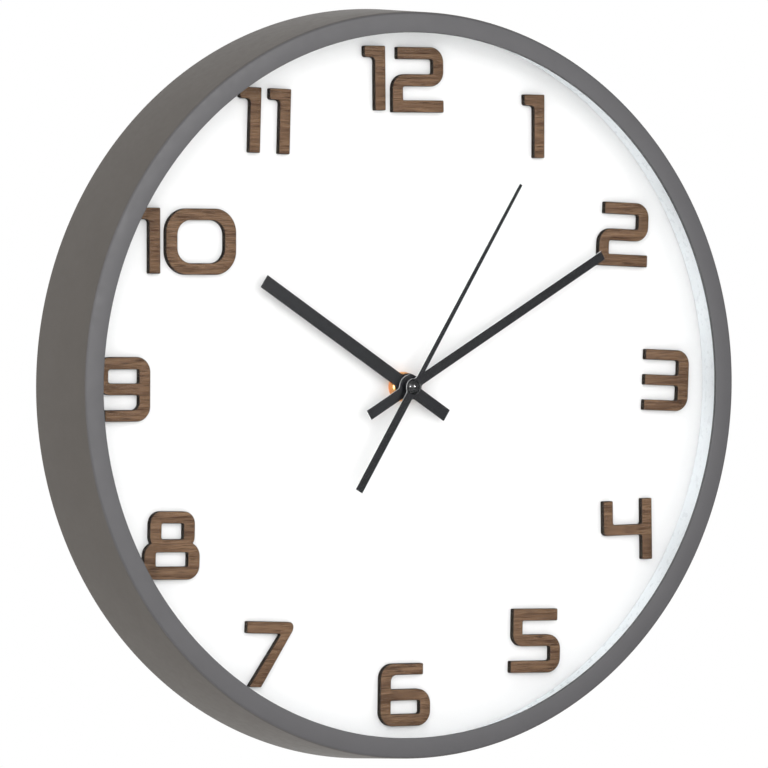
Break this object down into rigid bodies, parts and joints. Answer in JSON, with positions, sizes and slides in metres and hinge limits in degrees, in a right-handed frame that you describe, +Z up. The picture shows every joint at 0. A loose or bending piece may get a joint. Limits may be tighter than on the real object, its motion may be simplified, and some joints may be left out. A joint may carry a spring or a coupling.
{
  "type": "wall clock",
  "caption": "Round quartz wall clock: moulded case with glass lens, raised wooden numerals, three hands and a battery movement behind a recessed back cover.",
  "frame": {"origin": "centre of the case's bounding box, on the axis of the round case, midway between bezel and rear rim; the hands' axis is 0.7 mm below it", "axes": "-Y towards the viewer of the dial, +Y towards the wall, +Z up through twelve o'clock, +X to three o'clock"},
  "size_m": [0.306, 0.038, 0.306],
  "materials": {
    "case_grey": "satin warm grey moulding",
    "lens_glass": "clear float glass",
    "ring_white": "smooth white",
    "dial_white": "matt coated paper",
    "dial_fibreboard": "raw fibreboard",
    "walnut": "walnut veneer with laser-darkened edges",
    "hand_black": "black lacquer, satin",
    "cap_black": "polished black",
    "cover_black": "fine textured moulding",
    "screw_steel": "zinc plated",
    "movement_black": "spark-textured moulding",
    "plate_natural": "natural moulding",
    "gear_natural": "natural acetal",
    "gear_amber": "amber acetal",
    "brass": "turned brass",
    "gasket_rubber": "matt rubber",
    "battery_steel": "nickel plated",
    "battery_label": "shrink sleeve",
    "contact_nickel": "nickel plated spring steel",
    "phenolic_board": "phenolic board with solder resist",
    "epoxy_black": "cured epoxy",
    "crystal_can": "drawn can",
    "bobbin_white": "natural moulding",
    "coil_copper": "enamelled copper wire",
    "stator_iron": "annealed soft iron",
    "magnet_black": "sintered magnet"
  },
  "bodies": {
    "case": {"bezel": "case_grey", "case_wall": "case_grey", "screw_bosses": "case_grey", "lens": "lens_glass", "spacer_ring": "ring_white", "dial_face": "dial_white", "dial_board": "dial_fibreboard", "numeral_01": "walnut", "numeral_02": "walnut", "numeral_03": "walnut", "numeral_04": "walnut", "numeral_05": "walnut", "numeral_06": "walnut", "numeral_07": "walnut", "numeral_08": "walnut", "numeral_09": "walnut", "numeral_10": "walnut", "numeral_11": "walnut", "numeral_12": "walnut", "back_cover": "cover_black", "back_cover_screws": "screw_steel", "movement_front_case": "movement_black", "movement_rear_cover": "movement_black", "train_plate": "plate_natural", "threaded_bushing": "brass", "dial_nut": "brass", "dial_washer": "brass", "rubber_gasket": "gasket_rubber", "positive_contact": "contact_nickel", "negative_contact": "contact_nickel", "circuit_board": "phenolic_board", "timing_chip": "epoxy_black", "quartz_crystal": "crystal_can", "coil_bobbin": "bobbin_white", "coil_winding": "coil_copper", "stator": "stator_iron"},
    "seconds_train": {"second_wheel": "gear_natural", "second_hand": "hand_black", "second_hand_cap": "cap_black"},
    "third_wheel_arbor": {"third_wheel": "gear_natural"},
    "center_wheel_arbor": {"center_wheel": "gear_amber"},
    "intermediate_arbor": {"intermediate_wheel": "gear_natural"},
    "rotor": {"rotor_magnet": "magnet_black", "rotor_pinion": "gear_amber"},
    "minute_arbor": {"minute_tube": "gear_natural", "minute_hand": "hand_black"},
    "hour_arbor": {"hour_wheel": "gear_natural", "hour_hand": "hand_black"},
    "motion_work": {"motion_wheel": "gear_amber"},
    "setting_arbor": {"setting_knob": "movement_black", "setting_gear": "gear_amber"},
    "battery": {"battery_cell": "battery_steel", "battery_sleeve": "battery_label"}
  },
  "joints": [
    {"name": "second_turn", "type": "hinge", "parent": "case", "child": "seconds_train", "pos_m": [0, 0.0086, -0.0007], "axis": [0, 1, 0], "continuous": true},
    {"name": "third_turn", "type": "hinge", "parent": "case", "child": "third_wheel_arbor", "pos_m": [0.00764, 0.0069, 0.00694], "axis": [0, 1, 0], "continuous": true},
    {"name": "center_turn", "type": "hinge", "parent": "case", "child": "center_wheel_arbor", "pos_m": [0, 0.005, -0.0007], "axis": [0, 1, 0], "continuous": true},
    {"name": "intermediate_turn", "type": "hinge", "parent": "case", "child": "intermediate_arbor", "pos_m": [-0.00764, 0.0104, 0.00694], "axis": [0, 1, 0], "continuous": true},
    {"name": "rotor_turn", "type": "hinge", "parent": "case", "child": "rotor", "pos_m": [-0.01521, 0.0057, 0.01131], "axis": [0, 1, 0], "continuous": true},
    {"name": "minute_turn", "type": "hinge", "parent": "case", "child": "minute_arbor", "pos_m": [0, 0.0032, -0.0007], "axis": [0, 1, 0], "continuous": true},
    {"name": "hour_turn", "type": "hinge", "parent": "case", "child": "hour_arbor", "pos_m": [0, 0.0016, -0.0007], "axis": [0, 1, 0], "continuous": true},
    {"name": "motion_turn", "type": "hinge", "parent": "case", "child": "motion_work", "pos_m": [0.00827, 0.0031, -0.00216], "axis": [0, 1, 0], "continuous": true},
    {"name": "setting_turn", "type": "hinge", "parent": "case", "child": "setting_arbor", "pos_m": [0.01715, 0.009, -0.00539], "axis": [0, 1, 0], "continuous": true},
    {"name": "battery_slide", "type": "slide", "parent": "case", "child": "battery", "axis": [0, 1, 0], "range_m": [0, 0.03]}
  ],
  "couplings": [
    {"joint": "third_turn", "follows": "second_turn", "ratio": -0.125},
    {"joint": "center_turn", "follows": "second_turn", "ratio": 0.016667},
    {"joint": "intermediate_turn", "follows": "second_turn", "ratio": -5},
    {"joint": "rotor_turn", "follows": "second_turn", "ratio": 30},
    {"joint": "motion_turn", "follows": "minute_turn", "ratio": -0.33333},
    {"joint": "hour_turn", "follows": "minute_turn", "ratio": 0.083333},
    {"joint": "setting_turn", "follows": "minute_turn", "ratio": 0.66667}
  ]
}
